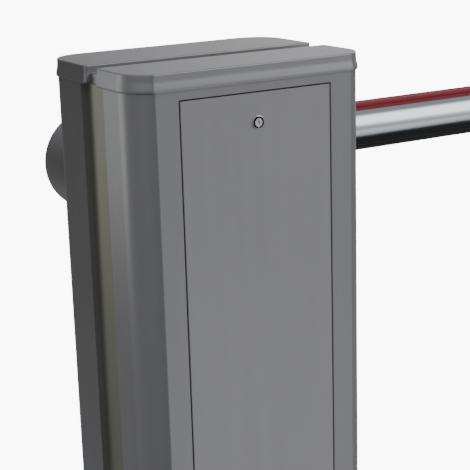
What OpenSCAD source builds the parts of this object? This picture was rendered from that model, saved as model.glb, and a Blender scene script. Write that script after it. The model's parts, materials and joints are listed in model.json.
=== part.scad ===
// Parking barrier gate: cabinet with a sprung, motor-driven boom.
// X runs along the lowered boom, -Y is the door side, +Z is up.
// The origin is the centre of the base plate's underside.

/* [Cabinet] */
// Width of the cabinet across the door
body_w = 400; // [380:5:480]
// Depth of the cabinet from door to rear face
body_d = 300; // [290:5:360]
// Height of the cabinet to the top of its caps
body_h = 1120; // [1080:10:1400]
// Thickness of the cabinet's sheet steel
sheet = 3; // [2:0.5:4]
// Depth of the front shell, from the door face back
front_depth = 100; // [90:1:120]
// Width of the recessed channel between the two shells
channel_w = 76; // [60:1:90]
// How far the channel lies behind the shells' sides
channel_recess = 11; // [8:1:14]
// Radius of the front corners
front_r = 56; // [40:1:70]
// Angle through which a front corner turns before its crease
front_turn = 66; // [50:1:75]
// Radius of the rear corners
rear_r = 53; // [30:1:65]

/* [Caps] */
// Height of a cap's skirt
cap_h = 27; // [22:1:40]
// How far a cap stands out past the shells
cap_lip = 3; // [2:0.5:5]
// How far a cap reaches in over the side channel
cap_reach = 21; // [4:1:26]
// How far the middle cap lies below the other two
bridge_drop = 11; // [8:1:16]

/* [Door] */
// Width of the door leaf
door_w = 256; // [220:2:280]
// Height of the door's lower edge above the floor
door_z = 90; // [70:5:140]
// Distance from the top of the caps down to the door
door_top_drop = 42; // [36:1:60]
// Gap all round the door leaf
door_gap = 1.5; // [1:0.5:3]
// Depth of the door's folded edge
door_fold = 12; // [10:1:18]
// Distance from the top of the caps down to the lock
lock_drop = 86; // [76:1:110]
// Radius of the lock's ring
lock_r = 10.5; // [9.5:0.5:14]
// Radius of the door's hinge pins
hinge_pin_r = 3; // [2.5:0.5:4]

/* [Base] */
// Thickness of the base plate
base_t = 10; // [8:1:15]
// Spacing of the anchor holes across the cabinet
anchor_x = 290; // [260:5:320]
// Spacing of the anchor holes front to back
anchor_y = 190; // [160:5:220]
// Radius of the anchor holes, for M12 studs
anchor_hole_r = 7; // [6:0.5:9]
// Width of the cable opening
cable_x = 160; // [100:5:180]
// Depth of the cable opening
cable_y = 100; // [60:5:110]

/* [Boom] */
// Length of the boom tube
boom_len = 2700; // [2000:50:4000]
// Radius of the boom tube
boom_r = 35; // [30:1:40]
// Wall of the boom tube
boom_wall = 2.5; // [2:0.5:4]
// Height of the rubber strips above and below the tube
strip_h = 9; // [6:1:12]
// Width of the rubber strips
strip_w = 26; // [20:1:30]
// Distance from the top of the caps down to the boom's axis
boom_drop = 190; // [180:5:240]
// Distance from the cabinet's left side to the boom's axis
shaft_inset = 105; // [100:1:115]
// Radius of the round cover over the boom clamp
hub_r = 84; // [80:1:95]

/* [Drive] */
// Radius of the boom shaft
shaft_r = 17.5; // [15:0.5:20]
// Height of the boom shaft above the gearbox output
drive_pitch = 320; // [300:5:340]
// Distance from a shaft to its rod pin
rod_arm = 80; // [70:1:85]
// Gap between the rear spring and the lever's hub
spring_gap = 2.5; // [1:0.5:5]
// Radius of the pins
pin_r = 6; // [5:0.5:8]
// Angle through which the boom rises
lift = 90; // [80:1:90]
// Running clearance of shafts and pins, on the radius
run_fit = 0.05; // [0.02:0.01:0.1]
// Outer radius of a balance spring
coil_r = 16; // [14:1:18]
// Radius of the spring wire
wire_r = 2.5; // [2:0.5:3]
// Turns in a balance spring
coil_turns = 14; // [10:1:18]

/* [Hidden] */
$fn = 64;
gap = 0.5;
left = -body_w / 2;
front = -body_d / 2;
rear = body_d / 2;
channel_front = front + front_depth;
channel_rear = channel_front + channel_w;
channel_side = body_w / 2 - channel_recess;
shell_h = body_h - sheet - base_t - 2;
cap_z = body_h - cap_h;

door_top = body_h - door_top_drop;
door_h = door_top - door_z;
lock_z = body_h - lock_drop;
ledge_w = 22;
gasket_t = 3;
door_back = front + sheet + door_fold;
ledge_y = door_back + gasket_t;
cam_y = ledge_y + sheet + 0.6;
lock_body_r = lock_r - 2.3;
barrel_r = lock_body_r - 1.7;
knuckle_r = 2 * hinge_pin_r;
hinge_y = front - knuckle_r - gap;
hinge_z = door_z - door_gap - knuckle_r - 2;
leaf_t = 3;
knuckle_len = 24;
hinge_x = [-door_w / 2 + 45, door_w / 2 - 45];

upright_t = 4;
upright_flange = 18;
upright_top = body_h - cap_h - 1;
shelf_z = upright_top - 40;
stud_r = 4;
stud_x = [-body_w / 4, body_w / 4];
stud_y = [(front + channel_front) / 2, (channel_rear + rear) / 2];

shaft_x = left + shaft_inset;
shaft_z = body_h - boom_drop;
drive_z = shaft_z - drive_pitch;
lever_t = 12;
lever_y = channel_front + 19;
lever_back = lever_y + lever_t;
rod_t = 10;
link_y = lever_y - rod_t - 1;
plate_y = channel_rear + 44;
plate_t = 6;
plate_side = channel_side - upright_t - 6;
plate_bottom = drive_z - 54;
plate_top = shelf_z - 6;
housing_r = 40;
bearing_r = 31;
bearing_w = 18;
housing_front = lever_y + lever_t + 2 * coil_r + spring_gap + 3;
housing_back = rear - sheet - 22;
hub_front = rear + 4;
flange_t = 8;
flange_r = 62;
boom_y = hub_front + flange_t + 1 + boom_r;
strap_t = 4;
strap_bolt = 12;
hub_back = boom_y + boom_r + strap_t + 3 + sheet;
boom_start = shaft_x - 45;
boom_end = boom_start + boom_len;
strip_start = shaft_x + hub_r + 6;
strap_x = [shaft_x - 28, shaft_x + 28];
shaft_front = lever_y - 16;
bar_w = 26;
stop_r = 10;
stop_arm = 52;
lever_hub_r = shaft_r + 8;
spring_arm = (lever_hub_r + spring_gap + coil_r) / cos(lift / 2);
spring_x = shaft_x - spring_arm * cos(lift / 2);
spring_top_z = shaft_z + spring_arm * sin(lift / 2);
spring_base_z = drive_z + 150;
spring_off = lever_t / 2 + coil_r + 2;
spring_y = [lever_y + lever_t / 2 - spring_off, lever_y + lever_t / 2 + spring_off];
hook_h = 18;
gearbox_w = 116;
gearbox_h = 120;
gearbox_y = lever_back + 10;
motor_r = 42;
motor_len = 190;
motor_y = (gearbox_y + plate_y) / 2;
motor_top = drive_z - gearbox_h / 2 - 12;
box_w = 150;
box_h = 190;
box_d = 62;
box_x = 12;
box_z = shaft_z - 130;
box_y = plate_y - box_d;
box_wall = 3;
lid_t = 5;
bolt_r = 4;

paint = "#6b6d6f";
dark_paint = "#55564f";
zinc = "#b4b8ba";
steel = "#8d9194";
alloy = "#a5a8aa";
black = "#202224";
white = "#dfe0dc";

// ---- shared shapes ----

// Plan of the cabinet, moved inwards by inset: round rear corners, and
// front corners that are cut off by the flat front at a crease.
module plan(inset = 0) {
    half = body_w / 2 - inset;
    front_cx = body_w / 2 - front_r;
    front_cy = front + front_r * sin(front_turn);
    rear_cx = body_w / 2 - rear_r;
    rear_cy = rear - rear_r;
    intersection() {
        union() {
            for (s = [-1, 1]) {
                translate([s * front_cx, front_cy]) circle(front_r - inset);
                translate([s * rear_cx, rear_cy]) circle(rear_r - inset);
            }
            translate([-half, front_cy]) square([2 * half, rear_cy - front_cy]);
            translate([-front_cx, front + inset]) square([2 * front_cx, body_d / 2]);
            translate([-rear_cx, 0]) square([2 * rear_cx, rear - inset]);
        }
        translate([-body_w, front + inset]) square([2 * body_w, body_d - 2 * inset]);
    }
}

module band(y0, y1, outer = 0, inner = 0) {
    intersection() {
        difference() {
            plan(outer);
            if (inner > 0) plan(inner);
        }
        translate([-body_w, y0]) square([2 * body_w, y1 - y0]);
    }
}

// Cylinder along +Y that starts at the point given.
module rod_y(x, y, z, r, len) {
    translate([x, y, z]) rotate([-90, 0, 0]) cylinder(r = r, h = len);
}

module rod_x(x, y, z, r, len) {
    translate([x, y, z]) rotate([0, 90, 0]) cylinder(r = r, h = len);
}

module tube_y(x, y, z, outer, inner, len) {
    difference() {
        rod_y(x, y, z, outer, len);
        rod_y(x, y - 1, z, inner, len + 2);
    }
}

module hex_y(x, y, z, r, len) {
    translate([x, y, z]) rotate([-90, 0, 0]) cylinder(r = r, h = len, $fn = 6);
}

// Flat bar between two round eyes, in a plane across Y.
module bar(a, b, eye_w, y, t) {
    along = (b - a) / norm(b - a);
    side = (eye_w / 2 - 1.5) * [-along[1], along[0]];
    for (p = [a, b]) rod_y(p[0], y, p[1], eye_w / 2, t);
    translate([0, y + t, 0]) rotate([90, 0, 0]) linear_extrude(t)
        polygon([a + side, b + side, b - side, a - side]);
}

function on_arm(x, z, arm, angle) = [x + arm * cos(angle), z + arm * sin(angle)];

rod_top = on_arm(shaft_x, shaft_z, rod_arm, -lift / 2);
rod_low = on_arm(shaft_x, drive_z, rod_arm, -lift / 2);
spring_top = on_arm(shaft_x, shaft_z, spring_arm, 180 - lift / 2);

// ---- cabinet ----

module base_plate() {
    color(zinc) difference() {
        linear_extrude(base_t) plan();
        for (x = [-anchor_x / 2, anchor_x / 2]) for (y = [-anchor_y / 2, anchor_y / 2])
            translate([x, y, -1]) cylinder(r = anchor_hole_r, h = base_t + 2);
        translate([-cable_x / 2, -cable_y / 2, -1]) cube([cable_x, cable_y, base_t + 2]);
    }
}

module upright(side) {
    web = side > 0 ? channel_side - upright_t : -channel_side;
    flange = side > 0 ? channel_side - upright_flange : -channel_side;
    color(dark_paint) translate([0, 0, base_t]) {
        translate([web, channel_front, 0]) cube([upright_t, channel_w, upright_top - base_t]);
        for (y = [channel_front, channel_rear - upright_t])
            translate([flange, y, 0]) cube([upright_flange, upright_t, upright_top - base_t]);
    }
}

module left_upright() { upright(-1); }

module right_upright() { upright(1); }

module top_plate() {
    tie_x = channel_side - upright_t;
    shelf_x = channel_side - upright_flange - 4;
    edge = 16;
    color(zinc) difference() {
        translate([0, 0, shelf_z]) {
            translate([-tie_x, channel_front + upright_t, 0])
                cube([2 * tie_x, channel_w - 2 * upright_t, upright_t]);
            translate([-shelf_x, stud_y[0] - edge, 0])
                cube([2 * shelf_x, stud_y[1] - stud_y[0] + 2 * edge, upright_t]);
        }
        for (x = stud_x) for (y = stud_y)
            translate([x, y, shelf_z - 1]) cylinder(r = stud_r + gap, h = upright_t + 2);
    }
}

// Bent sheet round one end of the plan, with return flanges that bolt to the uprights.
module shell(y0, y1, return_y) {
    flange = channel_side - upright_flange;
    translate([0, 0, base_t]) {
        linear_extrude(shell_h) band(y0, y1, 0, sheet);
        for (x = [flange, 1 - body_w / 2])
            translate([x, return_y, 0]) cube([body_w / 2 - 1 - flange, sheet, shell_h]);
    }
}

module front_shell() {
    open_w = door_w + 2 * door_gap;
    open_h = door_h + 2 * door_gap;
    open_z = door_z - door_gap;
    jamb_d = ledge_y - front;
    color(paint) difference() {
        union() {
            shell(front, channel_front, channel_front - sheet);
            translate([-open_w / 2 - sheet, front + sheet, open_z - sheet])
                cube([open_w + 2 * sheet, jamb_d, open_h + 2 * sheet]);
        }
        translate([-open_w / 2, front - 1, open_z]) cube([open_w, ledge_y - front + 1, open_h]);
        translate([-open_w / 2 + ledge_w, ledge_y - 1, open_z + ledge_w])
            cube([open_w - 2 * ledge_w, sheet + 2, open_h - 2 * ledge_w]);
    }
}

module rear_shell() {
    color(paint) difference() {
        shell(channel_rear, rear, channel_rear);
        rod_y(shaft_x, rear - 2 * sheet, shaft_z, housing_r + 14, 4 * sheet);
    }
}

// Hollow cap over one shell, closed all round by its skirt.
module cap(y0, y1) {
    rim = cap_lip - 0.4;
    color(paint) difference() {
        translate([0, 0, cap_z]) linear_extrude(cap_h) band(y0, y1, -cap_lip);
        translate([0, 0, cap_z - 1]) linear_extrude(cap_h - sheet + 1)
            band(y0 + rim, y1 - rim, rim - cap_lip);
    }
}

module front_cap() { cap(front - cap_lip, channel_front + cap_reach); }

module rear_cap() { cap(channel_rear - cap_reach, rear + cap_lip); }

module bridge_cap() {
    w = 2 * (channel_side + cap_lip);
    y0 = channel_front + cap_reach + gap;
    d = channel_w - 2 * cap_reach - 2 * gap;
    h = cap_h - bridge_drop;
    color(paint) difference() {
        translate([-w / 2, y0, cap_z]) cube([w, d, h]);
        translate([-w / 2 + sheet, y0 + sheet, cap_z - 1])
            cube([w - 2 * sheet, d - 2 * sheet, h - sheet + 1]);
    }
}

module cap_studs() {
    color(zinc) for (x = stud_x) for (y = stud_y) {
        translate([x, y, shelf_z - 14]) cylinder(r = stud_r, h = body_h - sheet - shelf_z + 14);
        translate([x, y, shelf_z - 6]) cylinder(r = 7.5, h = 6, $fn = 6);
    }
}

module frame_bolts() {
    color(zinc) {
        for (side = [-1, 1]) for (z = [base_t + 60, body_h / 2, upright_top - 60])
            for (y = [channel_front + upright_t, channel_rear - upright_t - 5])
                hex_y(side * (channel_side - upright_flange / 2 - 3), y, z, 6, 5);
        for (a = [45 : 90 : 315]) {
            p = on_arm(shaft_x, shaft_z, housing_r + 10, a);
            hex_y(p[0], plate_y - 5, p[1], 6.5, 5);
            hex_y(p[0], plate_y + plate_t + 10, p[1], 6.5, 5);
        }
    }
}

module earth_stud() {
    color("#c9a24a") translate([body_w / 4, cable_y / 2 + 20, base_t]) {
        cylinder(r = 4, h = 28);
        translate([0, 0, 8]) cylinder(r = 7.5, h = 6, $fn = 6);
    }
}

// ---- door ----

module door_panel() {
    color(paint) difference() {
        translate([-door_w / 2, front, door_z]) cube([door_w, sheet + door_fold, door_h]);
        translate([-door_w / 2 + sheet, front + sheet, door_z + sheet])
            cube([door_w - 2 * sheet, door_fold + 1, door_h - 2 * sheet]);
        rod_y(0, front - 1, lock_z, lock_body_r + 0.2, 4 * sheet);
    }
}

module door_gasket() {
    outer = [door_w - 4, door_h - 4];
    inner = [outer[0] - 24, outer[1] - 24];
    color(black) difference() {
        translate([-outer[0] / 2, door_back + 0.3, door_z + 2]) cube([outer[0], gasket_t - 0.3, outer[1]]);
        translate([-inner[0] / 2, door_back - 1, door_z + 14]) cube([inner[0], gasket_t + 2, inner[1]]);
    }
}

module knuckle(x, leaf_y, leaf_z, leaf_h, bore) {
    difference() {
        union() {
            rod_x(x, hinge_y, hinge_z, knuckle_r, knuckle_len);
            translate([x, hinge_y, leaf_z]) cube([knuckle_len, leaf_y - hinge_y, leaf_h]);
        }
        rod_x(x - 1, hinge_y, hinge_z, bore, knuckle_len + 2);
    }
}

module door_knuckles() {
    color(zinc) for (x = hinge_x) {
        knuckle(x - knuckle_len / 2, front - gap, hinge_z, door_z + 2 - hinge_z, hinge_pin_r + run_fit);
        translate([x - knuckle_len / 2, front - leaf_t, door_z + 1]) cube([knuckle_len, leaf_t, 24]);
    }
}

module frame_knuckles() {
    drop = knuckle_r + 14;
    color(zinc) for (x = hinge_x) for (side = [-1, 1])
        knuckle(x + side * (knuckle_len + 1) - knuckle_len / 2, front, hinge_z - drop, drop, hinge_pin_r);
}

module hinge_pins() {
    len = 3 * knuckle_len + 2;
    color(steel) for (x = hinge_x) rod_x(x - len / 2, hinge_y, hinge_z, hinge_pin_r, len);
}

module lock_body() {
    color("#c6c8ca") {
        tube_y(0, front - 2, lock_z, lock_r, barrel_r, 2);
        tube_y(0, front, lock_z, lock_body_r, barrel_r, ledge_y + sheet - front);
    }
}

module lock_nut() {
    color(zinc) difference() {
        hex_y(0, front + sheet, lock_z, lock_r + 4, 5);
        rod_y(0, front, lock_z, lock_body_r, 20);
    }
}

// Barrel with a drop-shaped keyhole that narrows upwards.
module lock_cylinder() {
    key_r = 2.2;
    color("#d8d9da") difference() {
        rod_y(0, front - 2.4, lock_z, barrel_r - run_fit, cam_y - front + 2.4);
        rod_y(0, front - 4, lock_z - 1.5, key_r, 9);
        translate([0, front + 5, lock_z - 1.5]) rotate([90, 0, 0]) linear_extrude(9)
            polygon([[-key_r * 0.95, 0.6], [key_r * 0.95, 0.6], [0.4, 5.6], [-0.4, 5.6]]);
    }
}

module lock_cam() {
    color(zinc) {
        bar([0, lock_z], [40, lock_z], 16, cam_y, sheet);
        hex_y(0, cam_y + sheet, lock_z, 7, 4);
    }
}

// ---- frame of the drive ----

module mechanism_plate() {
    h = plate_top - plate_bottom;
    color(zinc) difference() {
        union() {
            translate([-plate_side, plate_y, plate_bottom]) cube([2 * plate_side, plate_t, h]);
            for (x = [-plate_side, plate_side - plate_t])
                translate([x, channel_rear + sheet, plate_bottom])
                    cube([plate_t, plate_y - channel_rear - sheet + 1, h]);
        }
        rod_y(shaft_x, plate_y - 1, shaft_z, housing_r, plate_t + 2);
    }
}

module bearing_housing() {
    color(alloy) difference() {
        union() {
            rod_y(shaft_x, housing_front, shaft_z, housing_r, housing_back - housing_front);
            rod_y(shaft_x, plate_y + plate_t, shaft_z, housing_r + 20, 10);
        }
        rod_y(shaft_x, housing_front - 1, shaft_z, shaft_r + 5, housing_back - housing_front + 2);
        rod_y(shaft_x, housing_front - 1, shaft_z, bearing_r, bearing_w + 1);
        rod_y(shaft_x, housing_back - bearing_w, shaft_z, bearing_r, bearing_w + 1);
    }
}

module bearing(y) {
    color("#c8cccf") {
        tube_y(shaft_x, y, shaft_z, bearing_r, bearing_r - 5, bearing_w);
        tube_y(shaft_x, y + 1.5, shaft_z, bearing_r - 5, shaft_r + 4, bearing_w - 3);
        tube_y(shaft_x, y, shaft_z, shaft_r + 4, shaft_r + run_fit, bearing_w);
    }
}

module front_bearing() { bearing(housing_front); }

module rear_bearing() { bearing(housing_back - bearing_w); }

module shaft_seal() {
    color(black) {
        tube_y(shaft_x, housing_back, shaft_z, housing_r + 12, shaft_r + 1.5, 2);
        tube_y(shaft_x, housing_back + 2, shaft_z, housing_r + 12, housing_r + 8, rear - housing_back);
    }
}

module boom_shaft() {
    color(steel) {
        rod_y(shaft_x, shaft_front, shaft_z, shaft_r, hub_front - shaft_front + 1);
    }
}

module shaft_end_bolt() {
    color(zinc) {
        rod_y(shaft_x, shaft_front - 3, shaft_z, 15, 3);
        hex_y(shaft_x, shaft_front - 10, shaft_z, 9, 7);
    }
}

module balance_lever() {
    color(zinc) difference() {
        union() {
            bar(spring_top, rod_top, bar_w, lever_y, lever_t);
            rod_y(shaft_x, lever_y - 6, shaft_z, lever_hub_r, housing_front - lever_y + 5);
        }
        rod_y(shaft_x, lever_y - 30, shaft_z, shaft_r, 200);
        rod_y(rod_top[0], lever_y - 1, rod_top[1], pin_r, lever_t + 2);
        rod_y(spring_top[0], lever_y - 1, spring_top[1], pin_r, lever_t + 2);
    }
}

module spring_pin() {
    reach = spring_off + 6;
    color(steel) rod_y(spring_top[0], lever_y + lever_t / 2 - reach, spring_top[1], pin_r, 2 * reach);
}

module lever_rod_pin() {
    color(steel) {
        rod_y(rod_top[0], link_y - 1, rod_top[1], pin_r, rod_t + lever_t + 2);
        rod_y(rod_top[0], link_y - 4.5, rod_top[1], pin_r + 3, 3.5);
    }
}

// The tie rod keeps upright while both cranks turn: a parallelogram linkage.
module tie_rod() {
    eye_r = pin_r + 8;
    mid_y = link_y + rod_t / 2;
    color(zinc) difference() {
        union() {
            for (p = [rod_top, rod_low]) rod_y(p[0], link_y, p[1], eye_r, rod_t);
            translate([rod_top[0], mid_y, rod_low[1] + eye_r - 3])
                cylinder(r = rod_t / 2 - 1, h = drive_pitch - 2 * eye_r + 6);
            for (z = [rod_low[1] + eye_r + 12, rod_top[1] - eye_r - 22])
                translate([rod_top[0], mid_y, z]) cylinder(r = 8, h = 10, $fn = 6);
        }
        rod_y(rod_top[0], link_y - 1, rod_top[1], pin_r + run_fit, rod_t + 2);
        rod_y(rod_low[0], link_y - 1, rod_low[1], pin_r + gap, rod_t + 2);
    }
}

function stop_at(side) = on_arm(shaft_x, shaft_z, stop_arm, side * lift / 2)
    + (bar_w / 2 + stop_r + gap) * [-sin(lift / 2), side * cos(lift / 2)];

module stop_bolts() {
    color(zinc) for (side = [-1, 1]) {
        p = stop_at(side);
        rod_y(p[0], lever_y - 3, p[1], 5, plate_y - lever_y + 3);
        hex_y(p[0], lever_y - 9, p[1], 9, 6);
    }
}

module stop_buffers() {
    color(black) for (side = [-1, 1]) {
        p = stop_at(side);
        tube_y(p[0], lever_y - 3, p[1], stop_r, 5, lever_t + 6);
    }
}

module spring_bracket() {
    w = 2 * coil_r;
    color(zinc) difference() {
        union() {
            translate([spring_x - w / 2, spring_y[0] - coil_r, spring_base_z - 50])
                cube([w, plate_y - spring_y[0] + coil_r, 6]);
            translate([spring_x - w / 2, plate_y - 6, spring_base_z - 50]) cube([w, 6, 46]);
        }
        for (y = spring_y) translate([spring_x, y, spring_base_z - 60]) cylinder(r = bolt_r, h = 30);
    }
}

module eye_bolts() {
    color(zinc) for (y = spring_y) {
        translate([spring_x, y, spring_base_z - 74]) cylinder(r = bolt_r, h = 66);
        translate([spring_x, y, spring_base_z]) rotate([0, 90, 0])
            rotate_extrude() translate([7, 0]) circle(2.5);
    }
}

module tension_nuts() {
    color(zinc) for (y = spring_y) for (z = [spring_base_z - 57, spring_base_z - 44])
        translate([spring_x, y, z]) difference() {
            cylinder(r = 8, h = 7, $fn = 6);
            translate([0, 0, -1]) cylinder(r = bolt_r, h = 9);
        }
}

function coil_point(t, y, z0, h) = [spring_x + (coil_r - wire_r) * cos(360 * coil_turns * t),
    y + (coil_r - wire_r) * sin(360 * coil_turns * t), z0 + h * t];

// Helix of round wire, closed at both ends.
module helix(y, z0, h) {
    steps = coil_turns * 14;
    sides = 6;
    slope = atan(h / (2 * PI * (coil_r - wire_r) * coil_turns));
    points = [for (i = [0 : steps]) let (t = i / steps, p = coil_point(t, y, z0, h), a = 360 * coil_turns * t)
        for (j = [0 : sides - 1]) let (b = 360 * j / sides, u = wire_r * cos(b), v = wire_r * sin(b))
            p + [u * cos(a) + v * sin(a) * sin(slope), u * sin(a) - v * cos(a) * sin(slope), v * cos(slope)]];
    walls = [for (i = [0 : steps - 1]) for (j = [0 : sides - 1]) let (k = (j + 1) % sides)
        [i * sides + k, (i + 1) * sides + k, (i + 1) * sides + j, i * sides + j]];
    ends = [[for (j = [sides - 1 : -1 : 0]) j], [for (j = [0 : sides - 1]) steps * sides + j]];
    polyhedron(points, concat(walls, ends), convexity = 10);
}

module balance_spring(y) {
    color(black) helix(y, spring_base_z + hook_h, spring_top_z - spring_base_z - 2 * hook_h);
}

module front_spring() { balance_spring(spring_y[0]); }

module rear_spring() { balance_spring(spring_y[1]); }

// ---- gearmotor ----

module gearbox() {
    color(alloy) {
        difference() {
            translate([shaft_x - gearbox_w / 2, gearbox_y, drive_z - gearbox_h / 2])
                cube([gearbox_w, plate_y - gearbox_y, gearbox_h]);
            rod_y(shaft_x, gearbox_y - 1, drive_z, shaft_r - 2 + run_fit, plate_y - gearbox_y + 2);
        }
        for (x = [-1, 1]) for (z = [-1, 1])
            hex_y(shaft_x + x * (gearbox_w / 2 - 10), gearbox_y - 4,
                drive_z + z * (gearbox_h / 2 - 10), 6, 4);
        translate([shaft_x, motor_y, motor_top]) cylinder(r = motor_r + 4, h = 12);
    }
}

module output_crank() {
    color(zinc) difference() {
        union() {
            bar([shaft_x, drive_z], rod_low, bar_w, lever_y, lever_t);
            rod_y(shaft_x, lever_y - 6, drive_z, shaft_r + 6, gearbox_y - lever_y + 5);
            rod_y(shaft_x, lever_y - 8, drive_z, shaft_r - 2, plate_y - lever_y);
        }
        rod_y(rod_low[0], lever_y - 1, rod_low[1], pin_r, lever_t + 2);
    }
}

module crank_pin() {
    color(steel) {
        rod_y(rod_low[0], link_y - 1, rod_low[1], pin_r, rod_t + lever_t + 2);
        rod_y(rod_low[0], link_y - 4.5, rod_low[1], pin_r + 3, 3.5);
    }
}

module motor() {
    color(black) translate([shaft_x, motor_y, motor_top - motor_len + 40]) {
        cylinder(r = motor_r - 4, h = motor_len - 40);
        for (a = [0 : 15 : 345]) rotate(a)
            translate([motor_r - 6, -1, 8]) cube([6, 2, motor_len - 60]);
    }
}

module motor_fan_cover() {
    color(black) translate([shaft_x, motor_y, motor_top - motor_len]) difference() {
        cylinder(r = motor_r, h = 40);
        translate([0, 0, 3]) cylinder(r = motor_r - 2, h = 38);
        for (a = [0 : 45 : 315]) rotate(a) translate([14, -2, -1]) cube([20, 4, 6]);
    }
}

module motor_terminal_box() {
    color(black) translate([shaft_x + motor_r + gap, motor_y - 25, motor_top - 110]) cube([30, 50, 70]);
}

module release_knob() {
    knob_x = shaft_x + gearbox_w / 2;
    color("#c23a2e") {
        rod_x(knob_x + 0.3, motor_y, drive_z, 8, 14);
        translate([knob_x + 14.3, motor_y, drive_z]) rotate([0, 90, 0]) cylinder(r = 20, h = 12);
        translate([knob_x + 26.3, motor_y - 4, drive_z - 19]) cube([8, 8, 38]);
    }
}

// ---- controls ----

module control_box() {
    color(white) difference() {
        translate([box_x, box_y, box_z]) cube([box_w, box_d - 0.2, box_h]);
        translate([box_x + box_wall, box_y - 1, box_z + box_wall])
            cube([box_w - 2 * box_wall, box_d - box_wall + 1, box_h - 2 * box_wall]);
    }
}

module control_lid() {
    color(white) {
        translate([box_x - 1, box_y - lid_t, box_z - 1]) cube([box_w + 2, lid_t, box_h + 2]);
        for (x = [box_x + 8, box_x + box_w - 8]) for (z = [box_z + 8, box_z + box_h - 8])
            rod_y(x, box_y - lid_t - 2, z, 4, 2);
    }
}

module control_board() {
    base_y = box_y + box_d - box_wall - 12;
    color("#2f6b46") {
        translate([box_x + 12, base_y, box_z + 14]) cube([box_w - 24, 2, box_h - 28]);
        for (x = [box_x + 20, box_x + box_w - 20]) for (z = [box_z + 20, box_z + box_h - 20])
            rod_y(x, base_y + 1, z, 3, 11);
        translate([box_x + 20, base_y - 14, box_z + 22]) cube([box_w - 44, 14, 16]);
        for (i = [0 : 2]) translate([box_x + 24 + 34 * i, base_y - 20, box_z + 110]) cube([22, 20, 30]);
    }
}

module transformer() {
    color(steel) translate([box_x + 20, plate_y - 58, drive_z - 40]) {
        cube([84, 57.8, 14]);
        translate([8, 6, 14]) cube([68, 46, 46]);
        translate([0, 0, 60]) cube([84, 57.8, 8]);
    }
}

module capacitor() {
    color(white) translate([box_x + 134, plate_y - 26, drive_z - 40]) {
        cylinder(r = 20, h = 84);
        translate([-8, -8, 84]) cube([16, 16, 8]);
    }
}

module cable_glands() {
    color(black) for (i = [0 : 3]) translate([box_x + 28 + 31 * i, box_y + box_d / 2, box_z - 18]) {
        cylinder(r = 10, h = 8, $fn = 6);
        translate([0, 0, 8]) cylinder(r = 8, h = 10);
    }
}

// ---- boom ----

module hub_flange() {
    color(alloy) difference() {
        rod_y(shaft_x, hub_front + 1, shaft_z, flange_r, flange_t - 1);
        for (x = strap_x) for (z = [-1, 1])
            rod_y(x, hub_front - 1, shaft_z + z * (boom_r + strap_bolt), bolt_r, flange_t + 4);
    }
}

module boom_straps() {
    strap_w = 24;
    ear_y = hub_front + flange_t;
    ear_z = boom_r + strap_bolt + 8;
    color(zinc) for (x = strap_x) difference() {
        union() {
            rod_x(x - strap_w / 2, boom_y, shaft_z, boom_r + strap_t, strap_w);
            translate([x - strap_w / 2, ear_y, shaft_z - ear_z]) cube([strap_w, strap_t, 2 * ear_z]);
            translate([x - strap_w / 2, ear_y, shaft_z - boom_r - strap_t])
                cube([strap_w, boom_y - ear_y, 2 * (boom_r + strap_t)]);
        }
        rod_x(x - strap_w, boom_y, shaft_z, boom_r, 2 * strap_w);
        translate([x - strap_w, hub_front, shaft_z - ear_z - 1]) cube([2 * strap_w, flange_t, 2 * ear_z + 2]);
        translate([x - strap_w, ear_y - 5, shaft_z - boom_r])
            cube([2 * strap_w, boom_y - ear_y + 5, 2 * boom_r]);
        for (z = [-1, 1]) rod_y(x, ear_y - 1, shaft_z + z * (boom_r + strap_bolt), bolt_r, strap_t + 2);
    }
}

module strap_bolts() {
    color(zinc) for (x = strap_x) for (z = [-1, 1]) {
        zb = shaft_z + z * (boom_r + strap_bolt);
        rod_y(x, hub_front + 1, zb, bolt_r, flange_t + strap_t - 1);
        hex_y(x, hub_front + flange_t + strap_t, zb, 7, 6);
    }
}

module hub_cover() {
    depth = hub_back - hub_front;
    color(paint) difference() {
        rod_y(shaft_x, hub_front, shaft_z, hub_r, depth);
        rod_y(shaft_x, hub_front - 1, shaft_z, hub_r - sheet, depth - sheet + 1);
        translate([shaft_x, hub_front - 1, shaft_z - boom_r - 2])
            cube([2 * hub_r, boom_y + boom_r + 2 - hub_front, 2 * boom_r + 4]);
    }
    lug_h = hub_r - sheet - flange_r + 0.8;
    color(paint) for (z = [flange_r + 0.2, -flange_r - 0.2 - lug_h])
        translate([shaft_x - 12, hub_front + 1, shaft_z + z]) cube([24, flange_t, lug_h]);
}

module boom_tube() {
    color("#ccd4d8") difference() {
        rod_x(boom_start, boom_y, shaft_z, boom_r, boom_len);
        rod_x(boom_start - 1, boom_y, shaft_z, boom_r - boom_wall, boom_len + 2);
    }
}

module strip(bottom_z) {
    len = boom_end - strip_start - 2;
    difference() {
        translate([strip_start, boom_y - strip_w / 2, bottom_z]) cube([len, strip_w, boom_r + strip_h]);
        rod_x(strip_start - 1, boom_y, shaft_z, boom_r, len + 2);
    }
}

module top_strip() { color("#a02038") strip(shaft_z); }

module bottom_strip() { color(black) strip(shaft_z - boom_r - strip_h); }

module boom_tip() {
    color(black) {
        rod_x(boom_end - 30, boom_y, shaft_z, boom_r - boom_wall, 30);
        rod_x(boom_end, boom_y, shaft_z, boom_r + 2, 6);
        translate([boom_end, boom_y - strip_w / 2 - 1, shaft_z - boom_r - strip_h - 1])
            cube([6, strip_w + 2, 2 * (boom_r + strip_h + 1)]);
    }
}

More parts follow.
